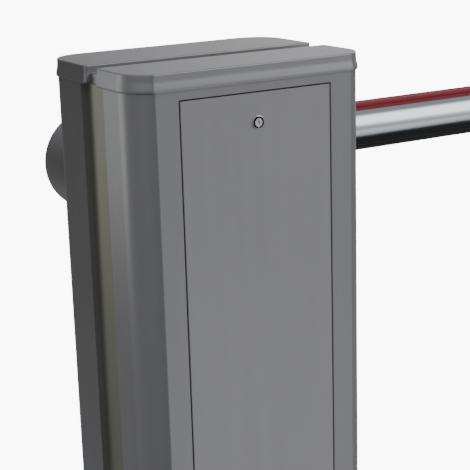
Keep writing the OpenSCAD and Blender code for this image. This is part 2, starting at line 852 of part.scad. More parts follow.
base_plate();
left_upright();
right_upright();
top_plate();
front_shell();
rear_shell();
front_cap();
rear_cap();
bridge_cap();
cap_studs();
frame_bolts();
earth_stud();
door_panel();
door_gasket();
door_knuckles();
frame_knuckles();
hinge_pins();
lock_body();
lock_nut();
lock_cylinder();
lock_cam();
mechanism_plate();
bearing_housing();
front_bearing();
rear_bearing();
shaft_seal();
boom_shaft();
balance_lever();
spring_pin();
lever_rod_pin();
tie_rod();
shaft_end_bolt();
stop_bolts();
stop_buffers();
spring_bracket();
eye_bolts();
tension_nuts();
front_spring();
rear_spring();
gearbox();
output_crank();
crank_pin();
motor();
motor_fan_cover();
motor_terminal_box();
release_knob();
control_box();
control_lid();
control_board();
transformer();
capacitor();
cable_glands();
hub_flange();
boom_straps();
strap_bolts();
hub_cover();
boom_tube();
top_strip();
bottom_strip();
boom_tip();
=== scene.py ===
# Parking barrier gate: the looks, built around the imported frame.
# Sizes are in metres, X runs along the lowered boom and -Y is the door side.
import json
import math

import bpy
from mathutils import Matrix, Vector

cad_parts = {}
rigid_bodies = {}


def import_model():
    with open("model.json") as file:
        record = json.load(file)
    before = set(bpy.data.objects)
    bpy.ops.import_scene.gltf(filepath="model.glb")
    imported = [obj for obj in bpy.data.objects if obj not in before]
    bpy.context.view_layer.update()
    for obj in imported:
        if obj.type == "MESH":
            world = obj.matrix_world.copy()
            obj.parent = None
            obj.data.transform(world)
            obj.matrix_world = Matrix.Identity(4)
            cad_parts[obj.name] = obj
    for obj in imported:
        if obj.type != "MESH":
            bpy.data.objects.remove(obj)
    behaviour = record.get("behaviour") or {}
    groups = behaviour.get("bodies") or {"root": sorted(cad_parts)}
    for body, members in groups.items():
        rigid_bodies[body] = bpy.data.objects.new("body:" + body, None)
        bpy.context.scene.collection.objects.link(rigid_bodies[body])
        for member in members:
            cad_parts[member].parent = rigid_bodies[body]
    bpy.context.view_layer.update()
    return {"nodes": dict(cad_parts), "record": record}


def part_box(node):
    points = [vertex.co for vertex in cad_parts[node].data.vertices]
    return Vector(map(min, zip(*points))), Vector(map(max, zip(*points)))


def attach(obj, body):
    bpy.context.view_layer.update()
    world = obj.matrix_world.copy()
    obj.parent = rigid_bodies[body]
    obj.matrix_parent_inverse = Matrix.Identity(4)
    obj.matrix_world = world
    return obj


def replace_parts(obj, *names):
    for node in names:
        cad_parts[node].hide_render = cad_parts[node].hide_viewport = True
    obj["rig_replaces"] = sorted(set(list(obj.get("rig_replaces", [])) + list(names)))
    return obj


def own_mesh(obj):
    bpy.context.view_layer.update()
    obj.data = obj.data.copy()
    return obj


bpy.ops.object.select_all(action="SELECT")
bpy.ops.object.delete()
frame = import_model()
bodies = frame["record"]["behaviour"]["bodies"]
bodyOf = {node: body for body, nodes in bodies.items() for node in nodes}
slotOf = {part["node"]: part["material_slot"] for part in frame["record"]["subparts"]}
near = 1e-5  # places closer than this count as one
weld = 1e-6  # corners closer than this are merged
print("frame loaded")

cameraPlace = {
    "lens": 101.0,
    "location": (-0.9988, -1.771, 1.3743),
    "heading": 30.48,  # degrees, from +Y towards +X
    "down": 14.99,
    "roll": -1.71,
}


def placeCamera(place):
    data = bpy.data.cameras.new("camera")
    data.lens = place["lens"]
    camera = bpy.data.objects.new("camera", data)
    bpy.context.scene.collection.objects.link(camera)
    turn = Matrix.Rotation(math.radians(-place["heading"]), 4, "Z")
    tilt = Matrix.Rotation(math.radians(90 - place["down"]), 4, "X")
    roll = Matrix.Rotation(math.radians(place["roll"]), 4, "Z")
    camera.matrix_world = Matrix.Translation(place["location"]) @ turn @ tilt @ roll
    bpy.context.scene.camera = camera


placeCamera(cameraPlace)
print("camera placed")


def deselectAll():
    if bpy.context.object and bpy.context.object.mode != "OBJECT":
        bpy.ops.object.mode_set(mode="OBJECT")
    bpy.ops.object.select_all(action="DESELECT")


def startPiece(name, add, **settings):
    deselectAll()
    add(**settings)
    piece = bpy.context.object
    piece.name = piece.data.name = name
    bpy.ops.object.transform_apply(location=True, rotation=True, scale=True)
    return piece


def startBox(name, low, high):
    low, high = Vector(low), Vector(high)
    cube = bpy.ops.mesh.primitive_cube_add
    return startPiece(name, cube, size=1, location=(low + high) / 2, scale=high - low)


turnTo = {"X": (0, math.pi / 2, 0), "Y": (-math.pi / 2, 0, 0), "Z": (0, 0, 0)}


def startRound(name, radius, start, length, axis="Y", sides=64, hole=0):
    along = Vector([float(letter == axis) for letter in "XYZ"])
    piece = startPiece(
        name,
        bpy.ops.mesh.primitive_cylinder_add,
        vertices=sides,
        radius=radius,
        depth=length,
        location=Vector(start) + along * length / 2,
        rotation=turnTo[axis],
    )
    if hole:  # a flat ring from each end cap, joined through
        pick("FACE", lambda centre, normal: abs(normal.dot(along)) > 0.9)
        bpy.ops.mesh.inset(thickness=radius - hole, use_individual=True)
        bpy.ops.mesh.bridge_edge_loops()
        bpy.ops.mesh.select_all(action="SELECT")
        bpy.ops.mesh.normals_make_consistent(inside=False)
        bpy.ops.object.mode_set(mode="OBJECT")
    return piece


def wake(piece):
    deselectAll()
    piece.select_set(True)
    bpy.context.view_layer.objects.active = piece


def pick(kind, test):
    # goes to edit mode with only the vertices, edges or faces that pass the test
    bpy.ops.object.mode_set(mode="OBJECT")
    mesh = bpy.context.object.data
    points = [v.co.copy() for v in mesh.vertices]
    for group in (mesh.vertices, mesh.edges, mesh.polygons):
        group.foreach_set("select", [False] * len(group))
    if kind == "VERT":
        mesh.vertices.foreach_set("select", [bool(test(p)) for p in points])
    elif kind == "EDGE":
        marks = [bool(test(*[points[i] for i in e.vertices])) for e in mesh.edges]
        mesh.edges.foreach_set("select", marks)
    else:
        marks = [bool(test(f.center, f.normal)) for f in mesh.polygons]
        mesh.polygons.foreach_set("select", marks)
    modes = [kind == each for each in ("VERT", "EDGE", "FACE")]
    bpy.context.tool_settings.mesh_select_mode = modes
    bpy.ops.object.mode_set(mode="EDIT")


def extrude(offset):
    bpy.ops.mesh.extrude_region_move(TRANSFORM_OT_translate={"value": offset})


def bevelPicked(width, segments):
    bpy.ops.mesh.bevel(offset=width, segments=segments, affect="EDGES")


def sinkPicked(rim, offset):
    # leaves a rim round the picked faces and moves the rest
    bpy.ops.mesh.inset(thickness=rim)
    extrude(offset)
    bpy.ops.object.mode_set(mode="OBJECT")


def faceOutwards():
    pick("FACE", lambda centre, normal: True)
    bpy.ops.mesh.remove_doubles(threshold=weld)
    bpy.ops.mesh.normals_make_consistent(inside=False)
    bpy.ops.object.mode_set(mode="OBJECT")


def modify(kind, **settings):
    bpy.ops.object.mode_set(mode="OBJECT")
    modifier = bpy.context.object.modifiers.new(kind.lower(), kind)
    for key, value in settings.items():
        setattr(modifier, key, value)
    bpy.ops.object.modifier_apply(modifier=modifier.name)


def thicken(sheet):
    modify("SOLIDIFY", thickness=sheet, offset=-1, use_even_offset=True)


def roundEdges(width, segments=2, degrees=30):
    modify(
        "BEVEL",
        width=width,
        segments=segments,
        limit_method="ANGLE",
        angle_limit=math.radians(degrees),
        use_clamp_overlap=True,
        miter_outer="MITER_ARC",
    )


def repeat(count, offset):
    settings = {"use_relative_offset": False, "use_constant_offset": True}
    modify("ARRAY", count=count, constant_offset_displace=offset, **settings)


def cutWith(piece, cutter):
    wake(piece)
    modify("BOOLEAN", object=cutter, operation="DIFFERENCE", solver="EXACT")
    bpy.data.objects.remove(cutter)


def joinTo(piece, others):
    wake(piece)
    for other in others:
        other.select_set(True)
    bpy.ops.object.join()
    return piece


def finishPiece(piece, nodes, material, smooth=35, body=None):
    # shades the piece, hands it to its body and hides the nodes it stands for
    wake(piece)
    bpy.ops.object.shade_smooth_by_angle(angle=math.radians(smooth))
    # big faces stay flat beside their rounded edges
    modify("WEIGHTED_NORMAL", keep_sharp=True, weight=100)
    piece.data.materials.clear()
    piece.data.materials.append(material)
    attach(piece, body or bodyOf[nodes[0]])
    if nodes:
        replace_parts(piece, *nodes)
    return piece


def drawOutline(name, start, steps):
    # a plan line from its start: ("run", x, y) goes straight,
    # ("turn", x, y, degrees) goes clockwise round a centre
    piece = startPiece(name, bpy.ops.mesh.primitive_plane_add, size=0.01, location=start)
    pick("VERT", lambda p: True)
    bpy.ops.mesh.merge(type="CENTER")
    at = Vector(start)
    for step in steps:
        if step[0] == "run":
            to = Vector((step[1], step[2], start[2]))
            bpy.ops.mesh.extrude_vertices_move(TRANSFORM_OT_translate={"value": to - at})
            at = to
        else:
            centre = Vector((step[1], step[2], start[2]))
            angle = math.radians(step[3])
            count = max(4, round(abs(step[3]) / 4))
            bpy.ops.mesh.spin(steps=count, angle=-angle, center=centre, axis=(0, 0, 1))
            at = centre + Matrix.Rotation(angle, 3, "Z") @ (at - centre)
    return piece


def refine(node, material, width=0.0004, segments=2, degrees=30, smooth=35):
    # a copy of a node's mesh with its edges rounded
    source = frame["nodes"][node]
    piece = bpy.data.objects.new(node + "Finished", source.data.copy())
    bpy.context.scene.collection.objects.link(piece)
    wake(piece)
    bpy.ops.object.mode_set(mode="EDIT")
    bpy.ops.mesh.customdata_custom_splitnormals_clear()
    bpy.ops.mesh.select_all(action="SELECT")
    bpy.ops.mesh.remove_doubles(threshold=weld)
    bpy.ops.mesh.dissolve_limited(angle_limit=math.radians(0.5))
    bpy.ops.object.mode_set(mode="OBJECT")
    if width:
        roundEdges(width, segments, degrees)
    return finishPiece(piece, [node], material, smooth)


class Amount:
    # one value in a node tree, on which +, - and * add Math nodes
    def __init__(self, graph, socket):
        self.graph = graph
        self.socket = socket

    def work(self, operation, first, second):
        return self.graph.add("ShaderNodeMath", {"operation": operation}, {0: first, 1: second})

    def __add__(self, other):
        return self.work("ADD", self, other)

    def __sub__(self, other):
        return self.work("SUBTRACT", self, other)

    def __rsub__(self, other):
        return self.work("SUBTRACT", other, self)

    def __mul__(self, other):
        return self.work("MULTIPLY", self, other)

    __radd__ = __add__
    __rmul__ = __mul__


class Graph:
    # a node tree, and short ways to add nodes to it
    def __init__(self, tree):
        self.nodes = tree.nodes
        self.links = tree.links

    def add(self, kind, settings=None, sockets=None, output=0):
        node = self.nodes.new(kind)
        for key, value in (settings or {}).items():
            if key == "stops":
                ramp = node.color_ramp
                while len(ramp.elements) < len(value):
                    ramp.elements.new(0.5)
                for element, (place, tone) in zip(ramp.elements, value):
                    element.position = place
                    element.color = (*tone, 1) if isinstance(tone, tuple) else (tone, tone, tone, 1)
            else:
                setattr(node, key, value)
        for key, value in (sockets or {}).items():
            self.feed(node.inputs[key], value)
        return Amount(self, node.outputs[output])

    def feed(self, socket, value):
        if isinstance(value, Amount):
            self.links.new(value.socket, socket)
        elif isinstance(value, (tuple, list)) and len(value) == 3 and socket.type == "RGBA":
            socket.default_value = (*value, 1)
        else:
            socket.default_value = value

    def place(self, scale):
        coordinates = self.add("ShaderNodeTexCoord", output="Object")
        return self.add("ShaderNodeMapping", sockets={"Vector": coordinates, "Scale": scale})

    def cloud(self, scale, stretch=(1, 1, 1), detail=3):
        settings = {"noise_dimensions": "3D"}
        sockets = {"Vector": self.place(stretch), "Scale": scale, "Detail": detail}
        sockets["Roughness"] = 0.55
        return self.add("ShaderNodeTexNoise", settings, sockets)

    def between(self, value, low, high):
        # 0 below low, 1 above high
        sockets = {"Value": value, "From Min": low, "From Max": high}
        return self.add("ShaderNodeMapRange", {"interpolation_type": "SMOOTHSTEP"}, sockets)

    def mix(self, share, first, second):
        sockets = {0: share, 6: first, 7: second}
        return self.add("ShaderNodeMix", {"data_type": "RGBA"}, sockets, output=2)

    def axis(self, letter):
        coordinates = self.add("ShaderNodeTexCoord", output="Object")
        return self.add("ShaderNodeSeparateXYZ", sockets={0: coordinates}, output=letter)


class Surface(Graph):
    def __init__(self, name, constants):
        self.material = bpy.data.materials.new(name)
        self.material.use_nodes = True
        super().__init__(self.material.node_tree)
        self.shader = self.nodes["Principled BSDF"]
        for socket, value in constants.items():
            self.shader.inputs[socket].default_value = value

    def toned(self, share, colour, darkest, lightest):
        # a colour that runs from its darker to its lighter tone
        dark = tuple(c * darkest for c in colour)
        light = tuple(min(1, c * lightest) for c in colour)
        return self.mix(share, dark, light)

    def finish(self, colour, roughness, bumps=()):
        self.feed(self.shader.inputs["Base Color"], colour)
        self.feed(self.shader.inputs["Roughness"], roughness)
        normal = None
        for height, depth in bumps:
            sockets = {"Height": height, "Distance": depth, "Strength": 1.0}
            if normal:
                sockets["Normal"] = normal
            normal = self.add("ShaderNodeBump", sockets=sockets)
        if normal:
            self.feed(self.shader.inputs["Normal"], normal)
        return self.material


cabinetPaint = {
    "colour": (0.32, 0.322, 0.326),
    "metallic": 0.65,
    "roughness": 0.36,
    "mottle": 0.12,  # how much lighter and darker the paint gets
    "peel": 0.00012,  # height of the orange peel
    "dust": (0.22, 0.205, 0.18),
    "dustTop": 0.28,  # height at which road dust fades out
    "dustShare": 0.8,
}


def paintFinish(name, values):
    surface = Surface(name, {"Metallic": values["metallic"]})
    mottle = surface.cloud(5, detail=4)
    streaks = surface.cloud(9, stretch=(5, 5, 0.35), detail=4)
    speck = surface.cloud(1400, detail=2)
    peel = surface.cloud(420, detail=1)
    share = mottle * 0.5 + streaks * 0.35 + speck * 0.15
    spread = values["mottle"]
    paint = surface.toned(share, values["colour"], 1 - spread, 1 + spread)
    low = 1 - surface.between(surface.axis("Z"), 0.0, values["dustTop"])
    dust = low * surface.cloud(14, detail=5) * values["dustShare"]
    dusty = surface.mix(dust, paint, values["dust"])
    rough = values["roughness"] - 0.04 + mottle * 0.08 + dust * 0.3
    return surface.finish(dusty, rough, [(peel, values["peel"]), (speck, 0.00002)])


# colour, roughness, scale of the grain and its height
metalLooks = {
    "zinc_steel": ((0.50, 0.51, 0.53), 0.36, 260, 0.00004),
    "machined_steel": ((0.46, 0.46, 0.47), 0.24, 700, 0.00002),
    "cast_alloy": ((0.42, 0.43, 0.44), 0.5, 480, 0.0002),
    "lock_chrome": ((0.80, 0.80, 0.81), 0.16, 900, 0.00001),
    "brass": ((0.62, 0.46, 0.20), 0.3, 500, 0.00003),
    "laminated_steel": ((0.20, 0.20, 0.21), 0.5, 300, 0.00005),
    "copper": ((0.48, 0.17, 0.07), 0.35, 600, 0.00005),
}


def metalFinish(name, colour, roughness, grainScale, depth):
    surface = Surface(name, {"Metallic": 1.0})
    grain = surface.cloud(grainScale, detail=3)
    bloom = surface.cloud(22, detail=4)
    tone = surface.toned(bloom, colour, 0.8, 1.15)
    rough = roughness - 0.06 + bloom * 0.12 + grain * 0.04
    return surface.finish(tone, rough, [(grain, depth)])


# the same four values
dullLooks = {
    "black_rubber": ((0.022, 0.022, 0.023), 0.7, 900, 0.00008),
    "grey_plastic": ((0.52, 0.53, 0.51), 0.45, 1500, 0.00005),
    "black_plastic": ((0.03, 0.03, 0.032), 0.4, 1500, 0.00005),
    "red_plastic": ((0.42, 0.02, 0.015), 0.3, 900, 0.00002),
    "board_green": ((0.02, 0.12, 0.06), 0.35, 700, 0.00002),
    "motor_paint": ((0.045, 0.048, 0.052), 0.42, 500, 0.00008),
    "spring_steel": ((0.035, 0.035, 0.038), 0.32, 500, 0.00003),
}


def dullFinish(name, colour, roughness, grainScale, depth):
    surface = Surface(name, {"Specular IOR Level": 0.5})
    grain = surface.cloud(grainScale, detail=2)
    bloom = surface.cloud(18, detail=4)
    tone = surface.toned(bloom, colour, 0.82, 1.2)
    rough = roughness - 0.05 + bloom * 0.1
    return surface.finish(tone, rough, [(grain, depth)])


def boomFinish():
    # polished extrusion: fine lines along the tube, a faint haze across them
    surface = Surface("boomAluminium", {"Metallic": 1.0})
    lines = surface.cloud(900, stretch=(0.004, 1, 1), detail=3)
    haze = surface.cloud(16, stretch=(0.3, 1, 1), detail=4)
    tone = surface.mix(haze, (0.60, 0.67, 0.70), (0.70, 0.76, 0.79))
    rough = 0.13 + haze * 0.06 + lines * 0.05
    return surface.finish(tone, rough, [(lines, 0.00001)])


def redRubberFinish():
    surface = Surface("redRubber", {"Specular IOR Level": 0.4})
    grain = surface.cloud(700, detail=3)
    lines = surface.cloud(300, stretch=(0.01, 1, 1), detail=2)
    dust = surface.cloud(30, stretch=(0.2, 1, 1), detail=4)
    tone = surface.mix(dust * 0.5, (0.34, 0.018, 0.035), (0.42, 0.06, 0.07))
    return surface.finish(tone, 0.5 + dust * 0.15, [(grain, 0.00005), (lines, 0.00005)])


channelPaint = {**cabinetPaint, "colour": (0.285, 0.287, 0.24), "roughness": 0.45}
# the door's paint is the cabinet paint made lighter: painted light, for the door catching more light
# than the shell round it
doorPaintLit = {**cabinetPaint, "colour": (0.36, 0.362, 0.366)}
finishes = {
    "cabinet_paint": paintFinish("cabinetPaint", cabinetPaint),
    "channel_paint": paintFinish("channelPaint", channelPaint),
    "door_paint": paintFinish("doorPaintLit", doorPaintLit),
    "boom_aluminium": boomFinish(),
    "red_rubber": redRubberFinish(),
}
for slotName, values in metalLooks.items():
    finishes[slotName] = metalFinish(slotName, *values)
for slotName, values in dullLooks.items():
    finishes[slotName] = dullFinish(slotName, *values)
print("finishes made")

shells = {
    "sheet": 0.003,
    "frontRadius": 0.056,
    "frontTurn": 66,  # degrees that a front corner turns before its crease
    "rearRadius": 0.053,
    "flange": 0.029,  # return flange that lies against the upright
    "foldRadius": 0.0012,
    "doorGap": 0.0015,
    "doorLedge": 0.022,  # what stands behind the door's edge
    "shaftHole": 0.054,
}


def frontLine(low, high, radius, turn):
    # run of the front plan from the channel round the door side to the channel
    drop = radius * math.sin(math.radians(turn))
    crease = radius * math.cos(math.radians(turn))
    left, right = low[0] + radius, high[0] - radius
    centreY = low[1] + drop
    return [
        ("run", low[0], centreY),
        ("turn", left, centreY, turn),
        ("run", right + crease, low[1]),
        ("turn", right, centreY, turn),
        ("run", high[0], high[1]),
    ]


def rearLine(low, high, radius):
    left, right, centreY = low[0] + radius, high[0] - radius, high[1] - radius
    return [
        ("run", high[0], centreY),
        ("turn", right, centreY, 90),
        ("run", left, high[1]),
        ("turn", left, centreY, 90),
        ("run", low[0], low[1]),
    ]


def makeFrontShell():
    low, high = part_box("front_shell")
    doorLow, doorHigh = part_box("door_panel")
    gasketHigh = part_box("door_gasket")[1]
    gap, ledge = shells["doorGap"], shells["doorLedge"]
    inner = shells["flange"]
    start = (low[0] + inner, high[1], low[2])
    line = [("run", low[0], high[1])]
    line += frontLine(low, high, shells["frontRadius"], shells["frontTurn"])
    line += [("run", high[0] - inner, high[1])]
    piece = drawOutline("frontShellFinished", start, line)
    bpy.ops.mesh.select_all(action="SELECT")
    extrude((0, 0, high[2] - low[2]))
    faceOutwards()
    sides = [
        ((doorLow[0] - gap, 0, 0), (1, 0, 0)),
        ((doorHigh[0] + gap, 0, 0), (1, 0, 0)),
        ((0, 0, doorLow[2] - gap), (0, 0, 1)),
        ((0, 0, doorHigh[2] + gap), (0, 0, 1)),
    ]
    for point, normal in sides:  # cuts the flat front round the door
        pick("FACE", lambda centre, n: abs(centre.y - low[1]) < near)
        bpy.ops.mesh.bisect(plane_co=point, plane_no=normal)
    middle = Vector((0, low[1], (doorLow[2] + doorHigh[2]) / 2))
    pick("FACE", lambda centre, n: (centre - middle).length < 0.01)
    bpy.ops.mesh.delete(type="FACE")
    width = doorHigh[0] - doorLow[0] + 2 * gap
    tall = doorHigh[2] - doorLow[2] + 2 * gap

    def onRim(p):
        sideways = abs(abs(p.x) - width / 2) < near and abs(p.z - middle.z) < tall / 2 + near
        upright = abs(abs(p.z - middle.z) - tall / 2) < near and abs(p.x) < width / 2 + near
        return abs(p.y - low[1]) < near and (sideways or upright)

    pick("EDGE", lambda a, b: onRim(a) and onRim(b) and onRim((a + b) / 2))
    extrude((0, gasketHigh[1] - low[1], 0))
    extrude((0, 0, 0))
    shrink = ((width - 2 * ledge) / width, 1, (tall - 2 * ledge) / tall)
    bpy.ops.transform.resize(value=shrink, center_override=middle)
    bpy.ops.object.mode_set(mode="OBJECT")
    pick("FACE", lambda centre, n: True)
    bpy.ops.mesh.normals_make_consistent(inside=False)
    thicken(shells["sheet"])
    faceOutwards()
    roundEdges(shells["foldRadius"], 3, 20)
    finishPiece(piece, ["front_shell"], finishes["cabinet_paint"], 25)


def makeRearShell():
    low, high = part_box("rear_shell")
    inner = shells["flange"]
    start = (high[0] - inner, low[1], low[2])
    line = [("run", high[0], low[1])] + rearLine(low, high, shells["rearRadius"])
    line += [("run", low[0] + inner, low[1])]
    piece = drawOutline("rearShellFinished", start, line)
    bpy.ops.mesh.select_all(action="SELECT")
    extrude((0, 0, high[2] - low[2]))
    faceOutwards()
    thicken(shells["sheet"])
    shaft = (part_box("boom_shaft")[0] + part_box("boom_shaft")[1]) / 2
    cutter = (shaft.x, high[1] - 0.01, shaft.z)
    cutWith(piece, startRound("shaftHole", shells["shaftHole"], cutter, 0.02))
    faceOutwards()
    roundEdges(shells["foldRadius"], 3, 30)
    finishPiece(piece, ["rear_shell"], finishes["cabinet_paint"], 25)


makeFrontShell()
makeRearShell()
print("shells made")

caps = {
    "lip": 0.003,  # how far a cap stands out over its shell
    "cornerRadius": 0.006,  # at the channel
    "topRadius": 0.0022,
    "wall": 0.0022,
    "bridgeRadius": 0.0015,
    # height up the skirt as a share, and how far it lies behind the widest point
    "skirt": (
        (0, 0.0008),
        (0.06, 0.0001),
        (0.2, 0.0),
        (0.48, 0.0018),
        (0.66, 0.0024),
        (1, 0.0021),
    ),
}


def makeCap(node, line, start):
    low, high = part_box(node)
    tall = high[2] - low[2]
    piece = drawOutline(node + "Finished", (*start, low[2]), line)
    bpy.ops.mesh.select_all(action="SELECT")
    bpy.ops.mesh.remove_doubles(threshold=near)
    bpy.ops.mesh.edge_face_add()
    shares = [share for share, back in caps["skirt"]]
    for lower, upper in zip(shares, shares[1:]):
        extrude((0, 0, (upper - lower) * tall))
    faceOutwards()
    for share, back in caps["skirt"]:  # draws each ring in to the skirt's profile
        ring = low[2] + share * tall
        pick("VERT", lambda p: abs(p.z - ring) < near)
        if share in (0, 1):
            middle = Vector(((low[0] + high[0]) / 2, (low[1] + high[1]) / 2, ring))
            wide, deep = high[0] - low[0], high[1] - low[1]
            shrink = (1 - 2 * back / wide, 1 - 2 * back / deep, 1)
            bpy.ops.transform.resize(value=shrink, center_override=middle)
        elif back:
            bpy.ops.transform.shrink_fatten(value=-back)
    pick("FACE", lambda centre, normal: normal.z < -0.9)
    bpy.ops.mesh.delete(type="FACE")
    pick("EDGE", lambda a, b: min(a.z, b.z) > high[2] - near)
    bevelPicked(caps["topRadius"], 4)
    bpy.ops.object.mode_set(mode="OBJECT")
    thicken(caps["wall"])
    faceOutwards()
    finishPiece(piece, [node], finishes["cabinet_paint"], 32)


def frontCapLine():
    low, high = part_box("front_cap")
    corner = caps["cornerRadius"]
    left, right, centreY = low[0] + corner, high[0] - corner, high[1] - corner
    plan = frontLine(low, high, shells["frontRadius"] + caps["lip"], shells["frontTurn"])
    plan[-1] = ("run", high[0], centreY)
    plan += [("turn", right, centreY, 90), ("run", left, high[1]), ("turn", left, centreY, 90)]
    return plan, (low[0], centreY)


def rearCapLine():
    low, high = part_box("rear_cap")
    corner = caps["cornerRadius"]
    left, right, centreY = low[0] + corner, high[0] - corner, low[1] + corner
    plan = rearLine(low, high, shells["rearRadius"] + caps["lip"])
    plan[-1] = ("run", low[0], centreY)
    plan += [("turn", left, centreY, 90), ("run", right, low[1]), ("turn", right, centreY, 90)]
    return plan, (high[0], centreY)


def makeBridgeCap():
    low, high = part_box("bridge_cap")
    piece = startBox("bridgeCapFinished", low, high)
    pick("FACE", lambda centre, normal: normal.z < -0.9)
    bpy.ops.mesh.delete(type="FACE")
    thicken(shells["sheet"])
    faceOutwards()
    roundEdges(caps["bridgeRadius"], 3)
    finishPiece(piece, ["bridge_cap"], finishes["cabinet_paint"])


makeCap("front_cap", *frontCapLine())
makeCap("rear_cap", *rearCapLine())
makeBridgeCap()
print("caps made")

door = {"edgeRadius": 0.0009, "lockHole": 0.0084}


def makeDoor():
    low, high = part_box("door_panel")
    lockMiddle = (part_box("lock_body")[0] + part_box("lock_body")[1]) / 2
    piece = startBox("doorPanelFinished", low, high)
    pick("FACE", lambda centre, normal: normal.y > 0.9)
    bpy.ops.mesh.delete(type="FACE")
    thicken(shells["sheet"])
    faceOutwards()
    cutter = (lockMiddle.x, low[1] - 0.01, lockMiddle.z)
    cutWith(piece, startRound("lockHole", door["lockHole"], cutter, 0.02, sides=48))
    faceOutwards()
    roundEdges(door["edgeRadius"], 3)
    # the door gets the lighter copy of the cabinet paint, a painted lift in light
    finishPiece(piece, ["door_panel"], finishes["door_paint"])


lock = {
    "ringDepth": 0.0022,
    "ringBevel": 0.0012,
    "clear": 0.0001,  # between the ring and the barrel
    "sleeveIn": 0.0023,  # how much smaller the sleeve is than the ring
    "sleeveStart": 0.0024,
    "threads": 9,
    "threadStart": 0.0065,
    "threadPitch": 0.0016,
    "threadWidth": 0.0008,
    "threadIn": 0.0021,
    "threadInside": 0.001,
    "keyRadius": 0.0022,
    "keyDown": 0.0015,  # the keyhole's round part lies this far under the middle
    "keyBend": 0.0012,  # above this the round is drawn up into a drop
    "keyUp": 0.0036,
    "keyTip": 0.0042,
    "keyNarrow": 0.3,
    "keyDepth": 0.0025,
    "edgeRadius": 0.0003,
}


def makeLock():
    low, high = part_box("lock_body")
    middle = (low + high) / 2
    ringRadius = (high[0] - low[0]) / 2
    barrelLow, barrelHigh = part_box("lock_cylinder")
    barrel = (barrelHigh[0] - barrelLow[0]) / 2
    bore = barrel + lock["clear"]
    start = (middle.x, low[1], middle.z)
    ring = startRound("lockRing", ringRadius, start, lock["ringDepth"], hole=bore)
    outside = ringRadius - 1e-4
    pick("EDGE", lambda a, b: max(a.y, b.y) < low[1] + near and (a - middle).xz.length > outside)
    bevelPicked(lock["ringBevel"], 4)
    bpy.ops.object.mode_set(mode="OBJECT")
    start = (middle.x, low[1] + lock["sleeveStart"], middle.z)
    length = high[1] - low[1] - lock["sleeveStart"]
    parts = [startRound("lockSleeve", ringRadius - lock["sleeveIn"], start, length, hole=bore)]
    radius, inside = ringRadius - lock["threadIn"], barrel + lock["threadInside"]
    for i in range(lock["threads"]):
        y = low[1] + lock["threadStart"] + i * lock["threadPitch"]
        start = (middle.x, y, middle.z)
        parts.append(startRound("thread", radius, start, lock["threadWidth"], hole=inside))
    joinTo(ring, parts)
    finishPiece(ring, ["lock_body"], finishes["lock_chrome"])
    start = (middle.x, barrelLow[1], middle.z)
    face = startRound("lockBarrel", barrel, start, barrelHigh[1] - barrelLow[1])
    keyZ = middle.z - lock["keyDown"]
    start = (middle.x, barrelLow[1] - 0.002, keyZ)
    drop = startRound("keyhole", lock["keyRadius"], start, 0.002 + lock["keyDepth"], sides=40)
    pick("VERT", lambda p: p.z > keyZ + lock["keyBend"])
    tip = Vector((middle.x, barrelLow[1], middle.z + lock["keyTip"]))
    bpy.ops.transform.translate(value=(0, 0, lock["keyUp"]))
    bpy.ops.transform.resize(value=(lock["keyNarrow"], 1, 1), center_override=tip)
    bpy.ops.object.mode_set(mode="OBJECT")
    cutWith(face, drop)
    faceOutwards()
    roundEdges(lock["edgeRadius"], 2, 40)
    finishPiece(face, ["lock_cylinder"], finishes["lock_chrome"])


makeDoor()
makeLock()
print("door and lock made")

tube = {"wall": 0.0025, "edgeRadius": 0.0005}
# stands a plan drawn in X and Y up, so that it runs along X
alongBoom = ((0, 0, 1, 0), (1, 0, 0, 0), (0, 1, 0, 0), (0, 0, 0, 1))


def makeTube():
    low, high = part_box("boom_tube")
    middle = (low + high) / 2
    radius = (high[1] - low[1]) / 2
    start = (low[0], middle.y, middle.z)
    bore = radius - tube["wall"]
    piece = startRound("boomTubeFinished", radius, start, high[0] - low[0], "X", 128, bore)
    faceOutwards()
    roundEdges(tube["edgeRadius"], 2, 40)
    finishPiece(piece, ["boom_tube"], finishes["boom_aluminium"], 30)


strips = {
    "clear": 0.0002,  # between a strip and the tube
    "grooveDepth": 0.002,
    "grooveCorners": (0.003, 0.0036, 0.0052, 0.0058),  # heights above the strip's foot
    "shoulder": 0.002,
    "shoulderCut": 0.0006,
    "topGroove": (0.004, 0.003, 0.001),  # half its width at the top and below, its depth
}


def makeStrip(node, up, material):
    # rubber profile that grips the tube, with a groove along its top and each side
    low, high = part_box(node)
    tubeLow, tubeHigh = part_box("boom_tube")
    middle = (tubeLow + tubeHigh) / 2
    radius = (tubeHigh[1] - tubeLow[1]) / 2
    half = (high[1] - low[1]) / 2
    top = abs((high[2] if up > 0 else low[2]) - middle.z)
    seat = math.sqrt(radius**2 - half**2) + strips["clear"]
    first, second, third, fourth = [seat + height for height in strips["grooveCorners"]]
    groove, shoulder, cut = strips["grooveDepth"], strips["shoulder"], strips["shoulderCut"]
    topWide, topNarrow, topDepth = strips["topGroove"]
    side = [(half, first), (half - groove, second), (half - groove, third), (half, fourth)]
    side += [(half, top - shoulder), (half - cut, top - cut), (half - shoulder, top)]
    side += [(topWide, top), (topNarrow, top - topDepth)]
    profile = side + [(-y, z) for y, z in reversed(side)] + [(-half, seat)]
    under = [-half + i * half / 6 for i in range(1, 12)]
    profile += [(y, math.sqrt(radius**2 - y**2) + strips["clear"]) for y in under]
    runs = [("run", y, up * z) for y, z in profile]
    piece = drawOutline(node + "Finished", (half, up * seat, 0), runs)
    bpy.ops.mesh.select_all(action="SELECT")
    bpy.ops.mesh.edge_face_add()
    extrude((0, 0, high[0] - low[0]))
    bpy.ops.object.mode_set(mode="OBJECT")
    piece.data.transform(Matrix.Translation((low[0], middle.y, middle.z)) @ Matrix(alongBoom))
    faceOutwards()
    finishPiece(piece, [node], material, 25)


tip = {
    "clear": 0.0002,  # between the tip's plate and the tube
    "cornerRadius": 0.012,
    "rim": 0.005,
    "dish": 0.0015,
    "edgeRadius": 0.0008,
    "plugIn": 0.005,  # how much smaller the plug is than the plate
    "plugHole": 0.02,
}


